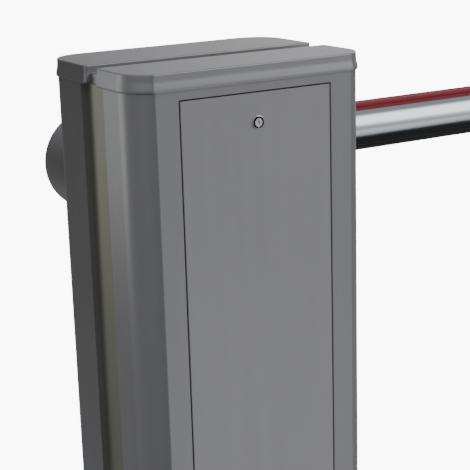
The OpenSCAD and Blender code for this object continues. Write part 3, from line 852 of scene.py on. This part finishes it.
def makeTip():
    low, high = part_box("boom_tip")
    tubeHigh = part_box("boom_tube")[1]
    plate = startBox("boomTipFinished", (tubeHigh[0] + tip["clear"], low[1], low[2]), high)
    pick("EDGE", lambda a, b: abs(a.x - b.x) > 0.001)
    bevelPicked(tip["cornerRadius"], 8)
    pick("FACE", lambda centre, normal: normal.x > 0.9)
    sinkPicked(tip["rim"], (-tip["dish"], 0, 0))
    roundEdges(tip["edgeRadius"], 2, 40)
    middle = (low + high) / 2
    radius = (high[1] - low[1]) / 2 - tip["plugIn"]
    start = (low[0], middle.y, middle.z)
    length = tubeHigh[0] - low[0]
    plug = startRound("tipPlug", radius, start, length, "X", 48, tip["plugHole"])
    joinTo(plate, [plug])
    finishPiece(plate, ["boom_tip"], finishes["black_rubber"])


hubCover = {
    "wall": 0.003,
    "round": 0.009,
    "rim": 0.012,
    "dish": 0.0012,
    "slotStart": 0.001,  # beyond the middle
    "slotGap": 0.002,
    "slotRadius": 0.03,
    "edgeRadius": 0.0006,
}


def makeHubCover():
    low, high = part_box("hub_cover")
    tubeLow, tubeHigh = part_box("boom_tube")
    middle = (low + high) / 2
    radius = (high[0] - low[0]) / 2
    start = (middle.x, low[1], middle.z)
    piece = startRound("hubCoverFinished", radius, start, high[1] - low[1], sides=128)
    pick("FACE", lambda centre, normal: normal.y < -0.9)
    bpy.ops.mesh.delete(type="FACE")
    pick("EDGE", lambda a, b: min(a.y, b.y) > high[1] - near)
    bevelPicked(hubCover["round"], 8)
    pick("FACE", lambda centre, normal: normal.y > 0.9999)
    sinkPicked(hubCover["rim"], (0, -hubCover["dish"], 0))
    thicken(hubCover["wall"])
    faceOutwards()
    gap = hubCover["slotGap"]
    slot = startBox(
        "tubeSlot",
        (middle.x + hubCover["slotStart"], low[1] - 0.01, tubeLow[2] - gap),
        (high[0] + 0.02, tubeHigh[1] + gap, tubeHigh[2] + gap),
    )
    pick("EDGE", lambda a, b: abs(a.x - b.x) > 0.01 and max(a.y, b.y) > tubeHigh[1])
    bevelPicked(hubCover["slotRadius"], 10)
    bpy.ops.object.mode_set(mode="OBJECT")
    cutWith(piece, slot)
    faceOutwards()
    roundEdges(hubCover["edgeRadius"], 2, 35)
    finishPiece(piece, ["hub_cover"], finishes["cabinet_paint"], 30)


makeTube()
makeStrip("top_strip", 1, finishes["red_rubber"])
makeStrip("bottom_strip", -1, finishes["black_rubber"])
makeTip()
makeHubCover()
print("boom made")

springs = {
    "wire": 0.0024,
    "turns": 14,
    "foot": 0.760,  # height that stays still as the spring shortens
    "pinUnder": 0.968,  # underside of the lever's pin with the boom down
    "pinUnderRaised": 0.880,  # and with the boom up
    "eyeTop": 0.7693,
}


def makeSpring(node):
    low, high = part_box(node)
    x, y = (low[0] + high[0]) / 2, (low[1] + high[1]) / 2
    wire = springs["wire"]
    mean = (high[0] - low[0]) / 2 - wire - 0.0001
    bottom, top = low[2] + wire, high[2] - wire
    piece = startPiece(
        node + "Finished",
        bpy.ops.mesh.primitive_circle_add,
        vertices=10,
        radius=wire,
        fill_type="NGON",
        location=(mean, 0, 0),
        rotation=(math.pi / 2, 0, 0),
    )
    modify(
        "SCREW",
        axis="Z",
        steps=36,
        render_steps=36,
        iterations=springs["turns"],
        screw_offset=(top - bottom) / springs["turns"],
        use_normal_calculate=True,
    )
    pick("FACE", lambda centre, normal: True)
    bpy.ops.mesh.remove_doubles(threshold=weld)
    bpy.ops.mesh.fill_holes(sides=0)
    bpy.ops.mesh.normals_make_consistent(inside=False)
    bpy.ops.object.mode_set(mode="OBJECT")
    piece.data.transform(Matrix.Translation((x, y, bottom)))
    hooks = []
    for level, end in ((bottom, springs["eyeTop"]), (top, springs["pinUnder"])):
        hooks.append(startRound("hookArm", wire, (x, y, level), mean, "X", 16))
        start = (x, y, min(level, end))
        hooks.append(startRound("hookPost", wire, start, abs(end - level), "Z", 16))
        ball = {"segments": 16, "ring_count": 10, "radius": wire, "location": (x, y, level)}
        hooks.append(startPiece("hookBend", bpy.ops.mesh.primitive_uv_sphere_add, **ball))
    joinTo(piece, hooks)
    finishPiece(piece, [node], finishes["spring_steel"], 50)
    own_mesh(piece)


makeSpring("front_spring")
makeSpring("rear_spring")
print("springs made")

transformer = {
    "yokes": ((0.0, 0.014), (0.060, 0.068)),  # heights of the laminated yokes above the foot
    "lamination": 0.0017,
    "sheetShare": 0.72,  # of a lamination's pitch that is steel
    "core": (0.028, 0.002, 0.005),  # how far the core stays inside the box
    "yokeIn": 0.0006,  # how far the solid yoke stays inside its laminations
    "winding": (0.008, 0.006, 0.001),
    "windingRadius": 0.009,
    "turn": 0.0018,
    "turnPitch": 0.0019,
}


def makeTransformer():
    low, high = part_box("transformer")
    pitch = transformer["lamination"]
    count = int((high[1] - low[1]) / pitch)
    bottomOfTop = low[2] + transformer["yokes"][1][0]
    inX, inY, inZ = transformer["core"]
    coreHigh = (high[0] - inX, high[1] - inY, bottomOfTop + 0.003)
    core = startBox("transformerCore", low + Vector((inX, inY, inZ)), coreHigh)
    others = []
    gap = transformer["yokeIn"]
    for start, end in transformer["yokes"]:
        sheetHigh = (high[0], low[1] + pitch * transformer["sheetShare"], low[2] + end)
        sheet = startBox("lamination", (low[0], low[1], low[2] + start), sheetHigh)
        roundEdges(0.0002, 1)
        repeat(count, (0, pitch, 0))
        yokeHigh = (high[0] - gap, high[1] - 0.001, low[2] + end - gap)
        body = startBox("yoke", low + Vector((gap, 0.0004, start + gap)), yokeHigh)
        others += [sheet, body]
    joinTo(core, others)
    finishPiece(core, ["transformer"], finishes["laminated_steel"])
    inX, inY, inZ = transformer["winding"]
    base = low[2] + transformer["yokes"][0][1] + inZ
    turnLow = low + Vector((inX, inY, 0)) + Vector((0, 0, base - low[2]))
    turnHigh = (high[0] - inX, high[1] - inY, base + transformer["turn"])
    turn = startBox("transformerWinding", turnLow, turnHigh)
    pick("EDGE", lambda a, b: abs(a.z - b.z) > 1e-4)
    bevelPicked(transformer["windingRadius"], 6)
    bpy.ops.object.mode_set(mode="OBJECT")
    roundEdges(0.0007, 2, 50)
    turnPitch = transformer["turnPitch"]
    repeat(int((bottomOfTop - base) / turnPitch), (0, 0, turnPitch))
    body, slot = bodyOf["transformer"], slotOf["transformer"]
    finishPiece(turn, [], finishes["copper"], body=body)


capacitor = {
    "lugRoom": 0.008,  # the can ends this far under the top of the lugs
    "rim": 0.0025,
    "dish": 0.002,
    "edgeRadius": 0.0009,
    "lugFromMiddle": 0.007,
    "lug": (0.003, 0.0006, 0.011),  # half its width, half its thickness, its height
    "bossRadius": 0.005,
    "bossFromTop": 0.0105,
    "bossTall": 0.003,
}


def makeCapacitor():
    low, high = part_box("capacitor")
    middle = (low + high) / 2
    radius = (high[0] - low[0]) / 2
    can = high[2] - low[2] - capacitor["lugRoom"]
    start = (middle.x, middle.y, low[2])
    piece = startRound("capacitorFinished", radius, start, can, "Z")
    pick("FACE", lambda centre, normal: normal.z > 0.9)
    sinkPicked(capacitor["rim"], (0, 0, -capacitor["dish"]))
    roundEdges(capacitor["edgeRadius"], 3)
    halfWide, halfThick, tall = capacitor["lug"]
    parts = []
    for side in (-1, 1):
        x = middle.x + side * capacitor["lugFromMiddle"]
        lugLow = (x - halfWide, middle.y - halfThick, high[2] - tall)
        parts.append(startBox("spade", lugLow, (x + halfWide, middle.y + halfThick, high[2])))
        roundEdges(0.0004, 1)
        start = (x, middle.y, high[2] - capacitor["bossFromTop"])
        boss = startRound("boss", capacitor["bossRadius"], start, capacitor["bossTall"], "Z", 24)
        parts.append(boss)
    joinTo(piece, parts)
    finishPiece(piece, ["capacitor"], finishes["grey_plastic"])


controlLid = {
    "screwRoom": 0.002,  # the lid's face lies this far behind the screw heads
    "cornerRadius": 0.005,
    "rim": 0.0035,
    "dish": 0.0012,
    "edgeRadius": 0.0006,
    "screwFromEdge": 0.009,
    "screwRadius": 0.004,
    "screwOut": 0.0019,
    "screwTall": 0.003,
    "slot": (0.005, 0.0009, 0.0006),  # half its length, its floor before the face, half its width
}


def makeControlLid():
    low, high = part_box("control_lid")
    front = low[1] + controlLid["screwRoom"]
    piece = startBox("controlLidFinished", (low[0], front, low[2]), high)
    pick("EDGE", lambda a, b: abs(a.y - b.y) > 1e-4)
    bevelPicked(controlLid["cornerRadius"], 5)
    pick("FACE", lambda centre, normal: normal.y < -0.9)
    sinkPicked(controlLid["rim"], (0, controlLid["dish"], 0))
    roundEdges(controlLid["edgeRadius"], 2)
    edge, radius = controlLid["screwFromEdge"], controlLid["screwRadius"]
    halfLong, floor, halfWide = controlLid["slot"]
    screws = []
    for x in (low[0] + edge, high[0] - edge):
        for z in (low[2] + edge, high[2] - edge):
            start = (x, front - controlLid["screwOut"], z)
            head = startRound("screw", radius, start, controlLid["screwTall"], sides=32)
            slotLow = (x - halfLong, front - 0.003, z - halfWide)
            slot = startBox("screwSlot", slotLow, (x + halfLong, front - floor, z + halfWide))
            cutWith(head, slot)
            screws.append(head)
    joinTo(piece, screws)
    finishPiece(piece, ["control_lid"], finishes["grey_plastic"])


makeTransformer()
makeCapacitor()
makeControlLid()
print("controls made")

# every other node keeps its own shape, with rounded edges
roundings = {
    "control_box": 0.002,
    "release_knob": 0.0016,
    "gearbox": 0.0022,
    "motor_terminal_box": 0.003,
}
made = {name for piece in bpy.data.objects for name in piece.get("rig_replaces", [])}
for node in frame["nodes"]:
    if node not in made:
        refine(node, finishes[slotOf[node]], roundings.get(node, 0.0004), 3 if node in roundings else 2)
print("frame pieces finished")

studio = {
    "paper": (0.86, 0.86, 0.86),
    "paperGlow": 9.0,
    # tones of the sky by height, from straight down at 0 to straight up at 1
    "gradient": (
        (0.0, 0.005),
        (0.16, 0.03),
        (0.28, 0.32),
        (0.4, 0.3),
        (0.5, 0.26),
        (0.62, 0.32),
        (0.8, 0.36),
        (1.0, 0.32),
    ),
    # soft boxes far away: degrees left of -Y, degrees up, full width, faded width, brightness
    "boxes": (
        (-44, 30, 11, 30, 2.0),
        (-46, 3, 5, 16, 0.7),
        (-130, 20, 8, 30, 0.9),
        (-32, -32, 10, 27, 0.55),
        (60, 40, 20, 50, 0.3),
        (16, -12, 6, 30, -0.1),
        (158, -4, 10, 30, -0.2),
    ),
    "blueTint": 1.02,
}


def makeFloor():
    floor = startPiece("floor", bpy.ops.mesh.primitive_plane_add, size=60, location=(0, 0, 0))
    glow = {"Emission Strength": studio["paperGlow"], "Emission Color": (1, 1, 1, 1)}
    floor.data.materials.append(Surface("floorPaper", glow).finish(studio["paper"], 0.9))
    floor.visible_glossy = False
    floor.visible_diffuse = False


def towards(left, up):
    left, up = math.radians(left), math.radians(up)
    return Vector((-math.sin(left) * math.cos(up), -math.cos(left) * math.cos(up), math.sin(up)))


def makeWorld():
    world = bpy.data.worlds.new("studio")
    bpy.context.scene.world = world
    world.use_nodes = True
    sky = Graph(world.node_tree)
    ray = sky.add("ShaderNodeTexCoord", output="Generated")
    height = sky.add("ShaderNodeSeparateXYZ", sockets={0: ray}, output="Z") * 0.5 + 0.5
    tone = sky.add("ShaderNodeValToRGB", {"stops": studio["gradient"]}, {0: height})
    total = sky.add("ShaderNodeRGBToBW", sockets={0: tone})
    for left, up, full, faded, brightness in studio["boxes"]:
        sockets = {0: ray, 1: towards(left, up)}
        facing = sky.add("ShaderNodeVectorMath", {"operation": "DOT_PRODUCT"}, sockets, "Value")
        inside = sky.between(facing, math.cos(math.radians(faded)), math.cos(math.radians(full)))
        total = total + inside * brightness
    tinted = {0: total, 1: total, 2: total * studio["blueTint"]}
    background = sky.nodes["Background"]
    sky.feed(background.inputs["Color"], sky.add("ShaderNodeCombineColor", sockets=tinted))
    seen = sky.add("ShaderNodeLightPath", output="Is Camera Ray")
    sky.feed(background.inputs["Strength"], seen * studio["paperGlow"] + 1.0)


sideLight = {
    "left": 140,  # degrees left of -Y
    "up": 4,
    "distance": 3.0,
    "size": 1.6,
    "watts": 10,
    "target": (-0.2, -0.05, 0.7),
    "flagged": {"rear_shell", "rear_cap", "hub_cover", "hub_flange"},  # it is kept off these
}


def makeSideLight():
    data = bpy.data.lights.new("sideLight", "AREA")
    data.energy = sideLight["watts"]
    data.size = sideLight["size"]
    light = bpy.data.objects.new("sideLight", data)
    bpy.context.scene.collection.objects.link(light)
    back = towards(sideLight["left"], sideLight["up"])
    place = Vector(sideLight["target"]) + back * sideLight["distance"]
    turn = back.to_track_quat("Z", "Y").to_matrix().to_4x4()
    light.matrix_world = Matrix.Translation(place) @ turn
    lit = bpy.data.collections.new("sideLit")
    for piece in bpy.data.objects:
        if piece.type == "MESH" and not sideLight["flagged"] & set(piece.get("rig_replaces", [])):
            lit.objects.link(piece)
    light.light_linking.receiver_collection = lit


makeFloor()
makeWorld()
makeSideLight()
print("studio made")
